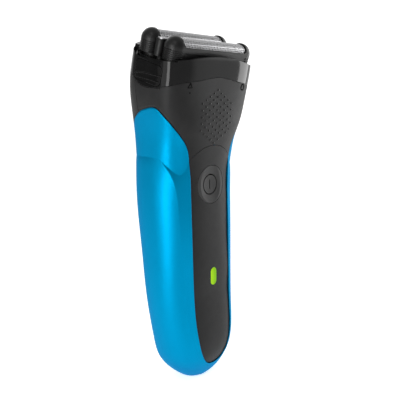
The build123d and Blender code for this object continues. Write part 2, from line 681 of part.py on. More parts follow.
# Cutter carrier: takes the drive pin's stroke and carries a peg for each cutter.
CARRIER_W = (4.2, 5.6)
CARRIER_PLATE = (19.0, 17.0, 2.5)  # length, width and corner radius
with BuildPart() as cutter_carrier:
    with BuildSketch(head_plane(CARRIER_W[0])):
        with Locations((0, sum(FOIL_V.values()) / 2)):
            RectangleRounded(*CARRIER_PLATE)
        with Locations((0, CENTRE_V)):
            Circle(DRIVE_PIN_RADIUS + FIT, mode=Mode.SUBTRACT)
    extrude(amount=CARRIER_W[1] - CARRIER_W[0])
    with BuildSketch(head_plane(CARRIER_W[1])):
        with Locations(*[(0, v) for v in FOIL_V.values()]):
            Circle(PEG_RADIUS)
    extrude(amount=PEG_TOP - CARRIER_W[1])
    with BuildSketch(head_plane(CARRIER_W[1])):
        with Locations((TRIMMER_PEG[0], TRIMMER_V)):
            Circle(TRIMMER_PEG[1])
    extrude(amount=TRIMMER_PEG[2] - CARRIER_W[1])
save(cutter_carrier.part, "cutter_carrier")

# Springs that push the foils and the trimmer up, two under each.
SPRING_TURNS, SPRING_WIRE = 4, 0.2  # the wire's radius, which also clears its seats
SPRING_RADIUS = {"front": 2.0, "rear": 2.0, "trimmer": 1.3}
for name, v in (*FOIL_V.items(), ("trimmer", TRIMMER_V)):
    pair = []
    for x in (-SPRING_SEAT_X, SPRING_SEAT_X):
        seat = head_plane().from_local_coords(Vector(x, v, 0))
        place = Plane(origin=seat, x_dir=(1, 0, 0), z_dir=head_plane().z_dir).location
        ends = (TRAY_FLOOR + SPRING_WIRE, PLUG_BOTTOM - SPRING_WIRE)
        pair.append(coil(SPRING_RADIUS[name], SPRING_WIRE, *ends, SPRING_TURNS, place))
    with BuildPart() as springs:
        add(pair)
    save(springs.part, f"{name}_springs")

# ---------------------------------------------------------------- drive
BULKHEAD_Z = (MOTOR_Z[1], MOTOR_Z[1] + 1.5)
MOTOR_SCREW_X = 6.2
MOTOR_BOSS = 2.4  # hole round the shaft
SCREW_RADIUS, SCREW_DEEP, SCREW_HEAD = 1.0, 3.0, (1.7, 1.0)  # the head's radius and height
DRIVER_SLOT = (2.4, 0.5)
END_CAP = (0.6, 2.4)  # step in from the can, and height
TERMINALS = (5.5, 0.5, 2.4, 4.0)  # x, thickness, width and length
with BuildPart() as bulkhead:
    add(skin(INNER_FIT, NECK_Z))
    with BuildSketch(Plane.XY.offset(BULKHEAD_Z[0])):
        Rectangle(2 * REACH, 2 * REACH)
    extrude(amount=BULKHEAD_Z[1] - BULKHEAD_Z[0], mode=Mode.INTERSECT)
    with BuildSketch(Plane.XY.offset(BULKHEAD_Z[0])):
        with Locations((0, MOTOR_Y)):
            Circle(MOTOR_BOSS)
        with Locations((MOTOR_SCREW_X, MOTOR_Y), (-MOTOR_SCREW_X, MOTOR_Y)):
            Circle(SCREW_RADIUS)
    extrude(amount=REACH, mode=Mode.SUBTRACT)
save(bulkhead.part, "bulkhead")

with BuildPart() as motor_can:
    with BuildSketch(Plane.XY.offset(MOTOR_Z[0])):
        with Locations((0, MOTOR_Y)):
            Circle(MOTOR_RADIUS)
            Rectangle(REACH, 2 * MOTOR_FLAT, mode=Mode.INTERSECT)
            Circle(SHAFT_RADIUS + FIT, mode=Mode.SUBTRACT)
    extrude(amount=MOTOR_Z[1] - MOTOR_Z[0])
    with BuildSketch(Plane.XY.offset(MOTOR_Z[1])):
        with Locations((MOTOR_SCREW_X, MOTOR_Y), (-MOTOR_SCREW_X, MOTOR_Y)):
            Circle(SCREW_RADIUS)
    extrude(amount=-SCREW_DEEP, mode=Mode.SUBTRACT)
save(motor_can.part, "motor_can")

with BuildPart() as motor_end_cap:
    with BuildSketch(Plane.XY.offset(MOTOR_Z[0])):
        with Locations((0, MOTOR_Y)):
            Circle(MOTOR_RADIUS - END_CAP[0])
            Rectangle(REACH, 2 * (MOTOR_FLAT - END_CAP[0]), mode=Mode.INTERSECT)
            Circle(SHAFT_RADIUS + FIT, mode=Mode.SUBTRACT)
    extrude(amount=-END_CAP[1])
save(motor_end_cap.part, "motor_end_cap")

with BuildPart() as motor_terminals:
    with BuildSketch(Plane.XY.offset(MOTOR_Z[0] - END_CAP[1])):
        with Locations((TERMINALS[0], MOTOR_Y), (-TERMINALS[0], MOTOR_Y)):
            Rectangle(TERMINALS[1], TERMINALS[2])
    extrude(amount=-TERMINALS[3])
save(motor_terminals.part, "motor_terminals")

with BuildPart() as motor_screws:
    for x in (MOTOR_SCREW_X, -MOTOR_SCREW_X):
        with BuildSketch(Plane.XY.offset(MOTOR_Z[1] - SCREW_DEEP)):
            with Locations((x, MOTOR_Y)):
                Circle(SCREW_RADIUS)
        extrude(amount=SCREW_DEEP + BULKHEAD_Z[1] - BULKHEAD_Z[0])
        with BuildSketch(Plane.XY.offset(BULKHEAD_Z[1])):
            with Locations((x, MOTOR_Y)):
                Circle(SCREW_HEAD[0])
                Rectangle(*DRIVER_SLOT, mode=Mode.SUBTRACT)
        extrude(amount=SCREW_HEAD[1])
save(motor_screws.part, "motor_screws")

ECCENTRIC_Z = (119.8, 121.6, 125.6)
ECCENTRIC_RADII = (3.3, 1.0)  # its disc and its pin
SHAFT_TAIL = 3.2
with BuildPart() as motor_shaft:
    with BuildSketch(Plane.XY.offset(MOTOR_Z[0] - SHAFT_TAIL)):
        with Locations((0, MOTOR_Y)):
            Circle(SHAFT_RADIUS)
    extrude(amount=ECCENTRIC_Z[1] - MOTOR_Z[0] + SHAFT_TAIL)
save(motor_shaft.part, "motor_shaft")

with BuildPart() as eccentric:
    with BuildSketch(Plane.XY.offset(ECCENTRIC_Z[0])):
        with Locations((0, MOTOR_Y)):
            Circle(ECCENTRIC_RADII[0])
            Circle(SHAFT_RADIUS, mode=Mode.SUBTRACT)
    extrude(amount=ECCENTRIC_Z[1] - ECCENTRIC_Z[0])
    with BuildSketch(Plane.XY.offset(ECCENTRIC_Z[1])):
        with Locations((ECCENTRIC, MOTOR_Y)):
            Circle(ECCENTRIC_RADII[1])
    extrude(amount=ECCENTRIC_Z[2] - ECCENTRIC_Z[1])
save(eccentric.part, "eccentric")

# Drive bridge: swings side to side on two thin legs, pushed by the eccentric's pin in its slot.
PIN_FOOT, PIN_TOP = -11.5, 6.2
BRIDGE_PLATE = (21.0, 14.0, 3.0)  # length, width and corner radius
BRIDGE_Y = 5.8
BRIDGE_SLOT = 1.2  # half width of the slot's clearance round the eccentric's path
PIN_BOSS = (2.2, 4.0)
LEGS = (9.4, 6.5, 0.6, 6.0)  # x, y, thickness and width
with BuildPart() as drive_bridge:
    with BuildSketch(Plane.XY.offset(BRIDGE_Z[0])):
        with Locations((0, BRIDGE_Y)):
            RectangleRounded(*BRIDGE_PLATE)
        with Locations((0, MOTOR_Y)):
            slot = (2 * (2 * ECCENTRIC + BRIDGE_SLOT), 2 * (ECCENTRIC + BRIDGE_SLOT))
            RectangleRounded(*slot, BRIDGE_SLOT, mode=Mode.SUBTRACT)
    extrude(amount=BRIDGE_Z[1] - BRIDGE_Z[0])
    with BuildSketch(head_plane(PIN_FOOT - 1)):
        with Locations((0, CENTRE_V)):
            Circle(PIN_BOSS[0])
    extrude(amount=PIN_BOSS[1])
    with BuildSketch(head_plane(PIN_FOOT)):
        with Locations((0, CENTRE_V)):
            Circle(DRIVE_PIN_RADIUS)
    extrude(amount=REACH, mode=Mode.SUBTRACT)
save(drive_bridge.part, "drive_bridge")

with BuildPart() as drive_pin:
    with BuildSketch(head_plane(PIN_FOOT)):
        with Locations((0, CENTRE_V)):
            Circle(DRIVE_PIN_RADIUS)
    extrude(amount=PIN_TOP - PIN_FOOT)
    chamfer(drive_pin.faces().sort_by(Axis.Z)[-1].edges(), DRIVE_PIN_RADIUS / 4)
save(drive_pin.part, "drive_pin")

with BuildPart() as bridge_legs:
    with BuildSketch(Plane.XY.offset(BULKHEAD_Z[1])):
        with Locations((LEGS[0], LEGS[1]), (-LEGS[0], LEGS[1])):
            Rectangle(LEGS[2], LEGS[3])
    extrude(amount=BRIDGE_Z[0] - BULKHEAD_Z[1])
save(bridge_legs.part, "bridge_legs")

# ---------------------------------------------------------------- power and controls
BATTERY_EDGE = 0.8
with BuildPart() as battery_cell:
    with BuildSketch(Plane.XY.offset(BATTERY_Z[0])):
        with Locations((0, BATTERY_Y)):
            Circle(BATTERY_RADIUS)
    extrude(amount=BATTERY_Z[1] - BATTERY_Z[0])
    fillet(battery_cell.edges().filter_by(GeomType.CIRCLE), BATTERY_EDGE)
save(battery_cell.part, "battery_cell")

BOARD_BACK = BOARD_Y + BOARD_THICK
TAB_STRIP = (5.0, 0.3, 2.0)  # width, thickness and how far it laps past the cell's middle
with BuildPart() as battery_tabs:
    for z, way in ((BATTERY_Z[1], 1), (BATTERY_Z[0], -1)):
        with BuildSketch(Plane.XY.offset(z)):
            with Locations((0, (BOARD_BACK + BATTERY_Y + TAB_STRIP[2]) / 2)):
                Rectangle(TAB_STRIP[0], BATTERY_Y + TAB_STRIP[2] - BOARD_BACK)
        extrude(amount=way * TAB_STRIP[1])
save(battery_tabs.part, "battery_tabs")

CRADLE = (BATTERY_RADIUS + FIT, BATTERY_RADIUS + 1.3)
CRADLE_END = 2.0  # how far the cradle stops short of each end of the cell
RAIL = (CRADLE[1] + 0.4, 1.2)  # x and thickness of the rails that carry the board
with BuildPart() as chassis:
    with BuildSketch(Plane.XY.offset(BATTERY_Z[0] + CRADLE_END)):
        with Locations((0, BATTERY_Y)):
            Circle(CRADLE[1])
        with Locations((0, BATTERY_Y - REACH / 2)):
            Rectangle(REACH, REACH, mode=Mode.SUBTRACT)
        rail_y = (BOARD_BACK + BATTERY_Y) / 2
        with Locations((RAIL[0], rail_y), (-RAIL[0], rail_y)):
            Rectangle(RAIL[1], BATTERY_Y - BOARD_BACK + 1)
        with Locations((0, BATTERY_Y)):
            Circle(CRADLE[0], mode=Mode.SUBTRACT)
    extrude(amount=BATTERY_Z[1] - BATTERY_Z[0] - 2 * CRADLE_END)
    with BuildSketch(Plane.XZ.offset(-BOARD_BACK)):
        Rectangle(4 * REACH, 8 * REACH)
    extrude(amount=REACH, mode=Mode.SUBTRACT)
save(chassis.part, "chassis")

BOARD_Z, BOARD_SIZE = 62.0, (20.0, 82.0, 2.0)  # width, length and corner radius
SWITCH_SIZE, SWITCH_HIGH, PLUNGER = 6.0, 2.0, (1.6, 0.6)  # the plunger's radius and height
LAMP_SIZE = (2.0, 3.2, 1.2)
CHIP_Z, CHIP_SIZE = 70.0, (5.0, 5.0, 1.0)
CAPACITOR = (5.0, 82.0, 2.6, 6.0)  # x, z, radius and height
CHOKE = (-4.5, 82.0, 3.3, 1.4, 3.0)  # x, z, outer radius, inner radius and height
with BuildPart() as circuit_board:
    with BuildSketch(Plane.XZ.offset(-BOARD_Y)):
        with Locations((0, BOARD_Z)):
            RectangleRounded(*BOARD_SIZE)
    extrude(amount=-BOARD_THICK)
save(circuit_board.part, "circuit_board")

with BuildPart() as tact_switch:
    with BuildSketch(Plane.XZ.offset(-BOARD_Y)):
        with Locations((0, BUTTON_Z)):
            Rectangle(SWITCH_SIZE, SWITCH_SIZE)
    extrude(amount=SWITCH_HIGH)
    with BuildSketch(Plane.XZ.offset(-BOARD_Y + SWITCH_HIGH)):
        with Locations((0, BUTTON_Z)):
            Circle(PLUNGER[0])
    extrude(amount=PLUNGER[1])
save(tact_switch.part, "tact_switch")

with BuildPart() as status_led:
    with BuildSketch(Plane.XZ.offset(-BOARD_Y)):
        with Locations((0, WINDOW_Z)):
            Rectangle(LAMP_SIZE[0], LAMP_SIZE[1])
    extrude(amount=LAMP_SIZE[2])
save(status_led.part, "status_led")

with BuildPart() as controller_chip:
    with BuildSketch(Plane.XZ.offset(-BOARD_Y)):
        with Locations((0, CHIP_Z)):
            Rectangle(CHIP_SIZE[0], CHIP_SIZE[1])
    extrude(amount=CHIP_SIZE[2])
save(controller_chip.part, "controller_chip")

with BuildPart() as capacitor:
    with BuildSketch(Plane.XZ.offset(-BOARD_BACK)):
        with Locations((CAPACITOR[0], CAPACITOR[1])):
            Circle(CAPACITOR[2])
    extrude(amount=-CAPACITOR[3])
save(capacitor.part, "capacitor")

with BuildPart() as choke:
    with BuildSketch(Plane.XZ.offset(-BOARD_BACK)):
        with Locations((CHOKE[0], CHOKE[1])):
            Circle(CHOKE[2])
            Circle(CHOKE[3], mode=Mode.SUBTRACT)
    extrude(amount=-CHOKE[4])
save(choke.part, "choke")

# Status window: a clear light pipe, flush with the switch panel, in front of the lamp.
WINDOW_BACK = 8.2
with BuildPart() as status_window:
    add(OUTSIDE)
    with BuildSketch(Plane.XZ.offset(WINDOW_BACK)):
        with Locations((0, WINDOW_Z)):
            SlotOverall(*WINDOW_SIZE, rotation=90)
    extrude(amount=REACH, mode=Mode.INTERSECT)
save(status_window.part, "status_window")

# Power button: a dished round cap with an engraved ring and bar.
PANEL_FRONT = 12.2  # how far the panel stands in front of the origin at the button
DISH_DEEP, DISH_RADIUS = 0.9, 7.5
DISH_BALL = (DISH_RADIUS**2 + DISH_DEEP**2) / (2 * DISH_DEEP)
ENGRAVED_DEEP, ENGRAVED_RING, ENGRAVED_BAR = 0.3, (4.1, 4.6), (0.5, 4.2)
STEM = (1.5, 0.6)
with BuildPart() as power_button:
    add(OUTSIDE)
    with BuildSketch(Plane.XZ.offset(-BUTTON_BACK)):
        with Locations((0, BUTTON_Z)):
            Circle(BUTTON_RADIUS)
    extrude(amount=REACH, mode=Mode.INTERSECT)
    with Locations((0, DISH_DEEP - PANEL_FRONT - DISH_BALL, BUTTON_Z)):
        Sphere(DISH_BALL, mode=Mode.SUBTRACT)
    with BuildSketch(Plane.XZ.offset(PANEL_FRONT - DISH_DEEP - ENGRAVED_DEEP)):
        with Locations((0, BUTTON_Z)):
            Circle(ENGRAVED_RING[1])
            Circle(ENGRAVED_RING[0], mode=Mode.SUBTRACT)
            Rectangle(*ENGRAVED_BAR)
    extrude(amount=REACH, mode=Mode.SUBTRACT)
    with BuildSketch(Plane.XZ.offset(-BUTTON_BACK)):
        with Locations((0, BUTTON_Z)):
            Circle(STEM[0])
    extrude(amount=-STEM[1])
save(power_button.part, "power_button")

button_spring_place = Plane(origin=(0, 0, BUTTON_Z), z_dir=(0, -1, 0)).location
button_spring_ends = (-BOARD_Y + SPRING_WIRE, -BUTTON_BACK - SPRING_WIRE)
save(coil(5.0, SPRING_WIRE, *button_spring_ends, 2.5, button_spring_place), "button_spring")

# Charging socket in the base: a deep oval recess with two pins.
SOCKET_BACK = 4.0
PIN_X, PIN_RADIUS, PIN_Z, PIN_LONG = 3.1, 0.75, 2.5, 13.0
SEAL_WIDE, SEAL_HIGH = 1.0, 1.6
with BuildPart() as charging_socket:
    with BuildSketch():
        SlotOverall(*SOCKET)
    extrude(amount=SOCKET_DEPTH + SOCKET_BACK)
    with BuildSketch():
        SlotOverall(*SOCKET_RECESS)
    extrude(amount=SOCKET_DEPTH, mode=Mode.SUBTRACT)
    with BuildSketch():
        with Locations((PIN_X, 0), (-PIN_X, 0)):
            Circle(PIN_RADIUS)
    extrude(amount=REACH, mode=Mode.SUBTRACT)
save(charging_socket.part, "charging_socket")

with BuildPart() as socket_pins:
    with BuildSketch(Plane.XY.offset(PIN_Z)):
        with Locations((PIN_X, 0), (-PIN_X, 0)):
            Circle(PIN_RADIUS)
    extrude(amount=PIN_LONG)
save(socket_pins.part, "socket_pins")

with BuildPart() as socket_seal:
    with BuildSketch(Plane.XY.offset(SOCKET_DEPTH)):
        SlotOverall(SOCKET[0] + 2 * SEAL_WIDE, SOCKET[1] + 2 * SEAL_WIDE)
        SlotOverall(*SOCKET, mode=Mode.SUBTRACT)
    extrude(amount=SEAL_HIGH)
save(socket_seal.part, "socket_seal")
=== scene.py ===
import bpy
import bmesh
import json
import math
from mathutils import Matrix, Vector
from mathutils.bvhtree import BVHTree
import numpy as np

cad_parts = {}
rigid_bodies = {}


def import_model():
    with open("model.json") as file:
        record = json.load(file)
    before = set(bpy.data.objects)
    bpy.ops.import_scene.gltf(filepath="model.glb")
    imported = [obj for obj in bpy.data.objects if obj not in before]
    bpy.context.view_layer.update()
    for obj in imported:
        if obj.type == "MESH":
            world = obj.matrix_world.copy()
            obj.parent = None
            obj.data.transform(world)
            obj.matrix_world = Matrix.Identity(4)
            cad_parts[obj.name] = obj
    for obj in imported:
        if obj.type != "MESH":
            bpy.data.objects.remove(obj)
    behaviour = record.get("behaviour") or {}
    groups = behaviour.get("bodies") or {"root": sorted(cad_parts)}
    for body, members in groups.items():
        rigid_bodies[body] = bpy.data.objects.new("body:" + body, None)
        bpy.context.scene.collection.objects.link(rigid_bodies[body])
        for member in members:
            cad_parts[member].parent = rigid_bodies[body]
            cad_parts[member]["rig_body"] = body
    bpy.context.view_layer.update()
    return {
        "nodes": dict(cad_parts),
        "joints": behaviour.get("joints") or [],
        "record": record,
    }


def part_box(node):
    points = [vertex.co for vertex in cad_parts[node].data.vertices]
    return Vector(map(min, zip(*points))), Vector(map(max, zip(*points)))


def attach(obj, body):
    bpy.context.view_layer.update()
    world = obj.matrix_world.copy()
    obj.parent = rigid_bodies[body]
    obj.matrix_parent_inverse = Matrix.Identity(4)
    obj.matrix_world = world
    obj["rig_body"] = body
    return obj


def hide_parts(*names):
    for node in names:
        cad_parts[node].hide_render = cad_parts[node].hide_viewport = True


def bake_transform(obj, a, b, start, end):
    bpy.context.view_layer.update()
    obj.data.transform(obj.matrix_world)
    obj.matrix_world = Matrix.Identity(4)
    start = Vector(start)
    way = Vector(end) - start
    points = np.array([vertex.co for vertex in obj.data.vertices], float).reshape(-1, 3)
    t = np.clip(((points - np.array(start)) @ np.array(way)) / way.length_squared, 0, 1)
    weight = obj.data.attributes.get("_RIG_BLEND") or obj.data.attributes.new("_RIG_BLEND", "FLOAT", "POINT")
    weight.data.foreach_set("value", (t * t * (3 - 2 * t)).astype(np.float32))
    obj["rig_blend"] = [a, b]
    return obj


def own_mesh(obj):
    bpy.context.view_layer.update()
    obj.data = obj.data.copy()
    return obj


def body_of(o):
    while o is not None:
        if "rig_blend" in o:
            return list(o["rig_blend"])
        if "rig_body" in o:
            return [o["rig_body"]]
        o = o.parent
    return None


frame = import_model()
NODES = frame["nodes"]

MM = 0.001


# ---------------------------------------------------------------- what the frame says
def joint_axis(name):
    """The direction of a joint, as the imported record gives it."""
    row = next(j for j in frame["joints"] if j["name"] == name)
    return Vector(row["axis"]).normalized()


UP = joint_axis("cassette_lift")  # up the leaning head
RIGHT = Vector((1, 0, 0))
BACK = UP.cross(RIGHT)


def middle(node):
    """The centre of a CAD node's box."""
    low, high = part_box(node)
    return (Vector(low) + Vector(high)) / 2


def half_length(node):
    """Half of a CAD node's length across the shaver."""
    low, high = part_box(node)
    return (high[0] - low[0]) / 2


def surface(node):
    """A search tree over a CAD node's own faces."""
    mesh = NODES[node].data
    return BVHTree.FromPolygons([v.co for v in mesh.vertices], [p.vertices for p in mesh.polygons])


# ---------------------------------------------------------------- materials
def set_input(shader, **values):
    for name, value in values.items():
        shader.inputs[name.replace("_", " ")].default_value = value


def new_material(name):
    """An empty material, its node tree and its principled shader."""
    material = bpy.data.materials.new(name)
    material.use_nodes = True
    tree = material.node_tree
    shader = tree.nodes["Principled BSDF"]
    return material, tree, shader


def object_noise(tree, scale, detail=3.0, stretch=(1, 1, 1)):
    """Noise through the piece's own volume; scale is in grains per metre."""
    place = tree.nodes.new("ShaderNodeTexCoord")
    mapping = tree.nodes.new("ShaderNodeMapping")
    mapping.inputs["Scale"].default_value = stretch
    noise = tree.nodes.new("ShaderNodeTexNoise")
    noise.inputs["Scale"].default_value = scale
    noise.inputs["Detail"].default_value = detail
    tree.links.new(place.outputs["Object"], mapping.inputs["Vector"])
    tree.links.new(mapping.outputs["Vector"], noise.inputs["Vector"])
    return noise.outputs["Fac"]


def ramp(tree, value, low, high, low_at=0.35, high_at=0.65):
    """A colour ramp between two colours."""
    node = tree.nodes.new("ShaderNodeValToRGB")
    node.color_ramp.elements[0].position = low_at
    node.color_ramp.elements[0].color = (*low, 1)
    node.color_ramp.elements[1].position = high_at
    node.color_ramp.elements[1].color = (*high, 1)
    tree.links.new(value, node.inputs["Fac"])
    return node.outputs["Color"]


def spread(tree, value, low, high):
    """Maps 0..1 onto low..high."""
    node = tree.nodes.new("ShaderNodeMapRange")
    node.inputs["To Min"].default_value = low
    node.inputs["To Max"].default_value = high
    tree.links.new(value, node.inputs["Value"])
    return node.outputs["Result"]


def grain(tree, shader, scale, height, round_edges=0.00018):
    """Moulded grain as a bump, over edges that are slightly rounded."""
    bump = tree.nodes.new("ShaderNodeBump")
    bump.inputs["Strength"].default_value = 1.0
    bump.inputs["Distance"].default_value = height
    tree.links.new(object_noise(tree, scale, 2.0), bump.inputs["Height"])
    if round_edges:
        bevel = tree.nodes.new("ShaderNodeBevel")
        bevel.samples = 4
        bevel.inputs["Radius"].default_value = round_edges
        tree.links.new(bevel.outputs["Normal"], bump.inputs["Normal"])
    tree.links.new(bump.outputs["Normal"], shader.inputs["Normal"])


MOTTLE_SCALE, SHINE_SCALE = 260, 900  # patches per metre in a moulding's colour and in its shine
SHINE_SHARE = 0.12  # how far the shine strays either side of its middle


def moulded(
    name,
    colour,
    roughness,
    scale=3500,
    height=0.00001,
    mottle=0.12,
    coat=0.0,
    coat_roughness=0.1,
    gloss=0.5,
):
    """Moulded plastic: a grain, a faint mottle in its colour and an uneven shine."""
    material, tree, shader = new_material(name)
    dark = tuple(c * (1 - mottle) for c in colour)
    light = tuple(min(1, c * (1 + mottle)) for c in colour)
    patches = object_noise(tree, MOTTLE_SCALE, 5.0)
    tree.links.new(ramp(tree, patches, dark, light), shader.inputs["Base Color"])
    low, high = roughness * (1 - SHINE_SHARE), roughness * (1 + SHINE_SHARE)
    tree.links.new(spread(tree, object_noise(tree, SHINE_SCALE, 4.0), low, high), shader.inputs["Roughness"])
    set_input(shader, Coat_Weight=coat, Coat_Roughness=coat_roughness, Specular_IOR_Level=gloss)
    grain(tree, shader, scale, height)
    return material


def brushed(name, colour, roughness, direction=(1, 30, 30)):
    """Metal with fine lines along the shaver's width."""
    material, tree, shader = new_material(name)
    lines = object_noise(tree, 900, 4.0, direction)
    dark = tuple(c * 0.8 for c in colour)
    tree.links.new(ramp(tree, lines, dark, colour), shader.inputs["Base Color"])
    tree.links.new(spread(tree, lines, roughness * 0.7, roughness * 1.3), shader.inputs["Roughness"])
    set_input(shader, Metallic=1.0)
    grain(tree, shader, 6000, 0.000004, 0.00006)
    return material


def satin_grip():
    """Satin metallic blue moulding with a fine sparkle."""
    material, tree, shader = new_material("satin_blue_grip")
    flakes = object_noise(tree, 9000, 1.0)
    tree.links.new(ramp(tree, flakes, (0.0, 0.222, 0.42), (0.0, 0.262, 0.50)), shader.inputs["Base Color"])
    tree.links.new(spread(tree, object_noise(tree, 700, 4.0), 0.38, 0.46), shader.inputs["Roughness"])
    set_input(shader, Metallic=0.85, Specular_Tint=(0.1, 0.55, 0.8, 1), Specular_IOR_Level=0.2)
    grain(tree, shader, 5000, 0.000006, 0.0003)
    return material


def lit_window():
    """The status light: a glowing green pipe, paler towards its left end and darker towards its right."""
    material, tree, shader = new_material("status_light")
    place = tree.nodes.new("ShaderNodeTexCoord")
    split = tree.nodes.new("ShaderNodeSeparateXYZ")
    tree.links.new(place.outputs["Object"], split.inputs["Vector"])
    low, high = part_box("status_window")
    along = tree.nodes.new("ShaderNodeMapRange")
    along.inputs["From Min"].default_value = low[0]
    along.inputs["From Max"].default_value = high[0]
    tree.links.new(split.outputs["X"], along.inputs["Value"])
    glow = ramp(tree, along.outputs["Result"], (0.31, 0.57, 0.0), (0.17, 0.40, 0.0), 0.1, 0.75)
    tree.links.new(glow, shader.inputs["Base Color"])
    tree.links.new(glow, shader.inputs["Emission Color"])
    set_input(shader, Roughness=0.3, Emission_Strength=0.3, Specular_IOR_Level=0.1)
    grain(tree, shader, 4000, 0.000004, 0.0003)
    return material


def make_materials():
    return {
        "grip": satin_grip(),
        "casing": moulded(
            "dark_grained_casing", (0.011, 0.011, 0.0112), 0.5, 4200, 0.000016, mottle=0.1, gloss=0.22
        ),
        "gloss_head": moulded(
            "polished_black",
            (0.002, 0.002, 0.0021),
            0.07,
            500,
            0.000002,
            mottle=0.2,
            coat=0.05,
            coat_roughness=0.03,
            gloss=0.25,
        ),
        "button": moulded(
            "soft_grey_button", (0.026, 0.026, 0.0263), 0.52, 5200, 0.00001, mottle=0.08, gloss=0.28
        ),
        "cassette": moulded(
            "matte_black_cassette", (0.006, 0.006, 0.0061), 0.40, 5000, 0.00001, mottle=0.12, gloss=0.32
        ),
        "foil": brushed("nickel_foil", (0.50, 0.50, 0.51), 0.30),
        "blade": brushed("ground_steel", (0.55, 0.55, 0.56), 0.32),
        "window": lit_window(),
        "inner_plastic": moulded("inner_moulding", (0.45, 0.45, 0.43), 0.5),
        "metal": brushed("plated_steel", (0.6, 0.6, 0.6), 0.3, (20, 20, 1)),
        "spring": brushed("spring_wire", (0.62, 0.62, 0.63), 0.22, (10, 10, 10)),
        "seal": moulded("black_rubber", (0.018, 0.018, 0.018), 0.7, 2500, 0.00002),
        "battery": moulded("cell_wrap", (0.02, 0.16, 0.07), 0.35, 800, 0.00001, mottle=0.05, coat=0.4),
        "board": moulded("board_laminate", (0.01, 0.11, 0.04), 0.4, 2000, 0.00002),
        "component": moulded("component_body", (0.03, 0.03, 0.03), 0.4),
        "contact": brushed("contact_metal", (0.75, 0.56, 0.28), 0.25, (5, 5, 5)),
        "icon": moulded("icon_black", (0.001, 0.001, 0.001), 0.6, gloss=0.05),
        # The studs are coloured darker than the casing: painted shade for their shaded sides.
        "stud": moulded("stud_black_painted_shade", (0.006, 0.006, 0.006), 0.28, gloss=0.5),
    }


MATERIALS = make_materials()


def paint(obj, name):
    """Gives a piece one material."""
    obj.data.materials.clear()
    obj.data.materials.append(MATERIALS[name])


def paint_frame():
    """Every CAD node takes the material of the record's slot."""
    for row in frame["record"]["subparts"]:
        paint(NODES[row["node"]], row["material_slot"])


# ---------------------------------------------------------------- mesh helpers
def piece(name, verts, faces, body, material, smooth=True):
    """A new mesh piece that rides on a body."""
    mesh = bpy.data.meshes.new(name)
    mesh.from_pydata([tuple(v) for v in verts], [], faces)
    mesh.validate()
    mesh.update()
    obj = bpy.data.objects.new(name, mesh)
    bpy.context.scene.collection.objects.link(obj)
    for polygon in mesh.polygons:
        polygon.use_smooth = smooth
    paint(obj, material)
    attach(obj, body)
    return obj


# ---------------------------------------------------------------- perforated foils
FOIL_RADIUS = 3.98 * MM  # outer face of the sheet, just inside the frame
FOIL_THICK = 0.12 * MM
HOLE_PITCH = 0.92 * MM
HOLE_SHARE = 0.62  # hole size over cell size
FOIL_HALF_ARC = math.radians(84)  # the sheet reaches this far each side of its top


def foil_axis(node):
    """The centre of a foil's arch: the middle of its chord, at the height of its edges."""
    mesh = NODES[node].data
    low = min(v.co.dot(UP) for v in mesh.vertices)
    centre = middle(node)
    across = [v.co.dot(BACK) for v in mesh.vertices]
    v = (min(across) + max(across)) / 2
    return RIGHT * centre.x + BACK * v + UP * low


def perforated_foil(name, node, body):
    """A thin arched sheet with staggered six-sided holes cut right through it."""
    axis = foil_axis(node)
    half_x = half_length(node)
    radius = HOLE_PITCH / math.sqrt(3)
    rows = int(FOIL_RADIUS * FOIL_HALF_ARC / (1.5 * radius))
    columns = int(half_x / HOLE_PITCH)
    corners = [math.radians(60 * k + 30) for k in range(6)]
    verts, faces, shared = [], [], {}

    def on_arch(along, around, depth):
        turn = around / FOIL_RADIUS
        r = FOIL_RADIUS - depth
        return axis + RIGHT * along + BACK * (r * math.sin(turn)) + UP * (r * math.cos(turn))

    def vertex(along, around, depth):
        key = (round(along / MM, 4), round(around / MM, 4), depth > 0)
        if key not in shared:
            shared[key] = len(verts)
            verts.append(on_arch(along, around, depth))
        return shared[key]

    for row in range(-rows, rows + 1):
        for column in range(-columns, columns + 1):
            x = (column + 0.5 * (row % 2)) * HOLE_PITCH
            y = row * 1.5 * radius
            if abs(x) > half_x - HOLE_PITCH / 2:
                continue
            outer = [(x + radius * math.cos(t), y + radius * math.sin(t)) for t in corners]
            hole = HOLE_SHARE * radius
            inner = [(x + hole * math.cos(t), y + hole * math.sin(t)) for t in corners]
            for k in range(6):
                n = (k + 1) % 6
                rim = (outer[k], outer[n], inner[n], inner[k])
                top = [vertex(*corner, 0) for corner in rim]
                under = [vertex(*corner, FOIL_THICK) for corner in rim]
                faces.append(tuple(top))
                faces.append(tuple(reversed(under)))
                faces.append((top[3], top[2], under[2], under[3]))
    edges = {}
    for face in faces:
        for a, b in zip(face, face[1:] + face[:1]):
            edges[(a, b)] = edges.get((a, b), 0) + 1
    lower = {index: shared[(key[0], key[1], True)] for key, index in shared.items() if not key[2]}
    for a, b in list(edges):
        if (b, a) not in edges and a in lower and b in lower:
            faces.append((b, a, lower[a], lower[b]))
    obj = piece(name, verts, faces, body, "foil", smooth=False)
    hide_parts(node)
    return obj


# ---------------------------------------------------------------- springs and flexing legs
def same_shape(node, name):
    """A new piece with a CAD node's own shape, which stands for it and may change shape in a pose."""
    mesh = NODES[node].data.copy()
    mesh.name = name
    obj = bpy.data.objects.new(name, mesh)
    bpy.context.scene.collection.objects.link(obj)
    return obj


def yielding_pieces():
    """Every spring is copied whole onto its own body, and the legs bend with the drive they carry."""
    for joint in frame["joints"]:
        for row in joint.get("deforming_nodes", []):
            node = row["node"]
            obj = same_shape(node, node + "_flexing")
            if row["mode"] == "compress":
                squeeze(obj, node)
            else:
                low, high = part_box(node)
                centre = middle(node)
                foot, head = (centre.x, centre.y, low[2]), (centre.x, centre.y, high[2])
                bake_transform(obj, joint["parent"], joint["child"], foot, head)
            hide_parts(node)


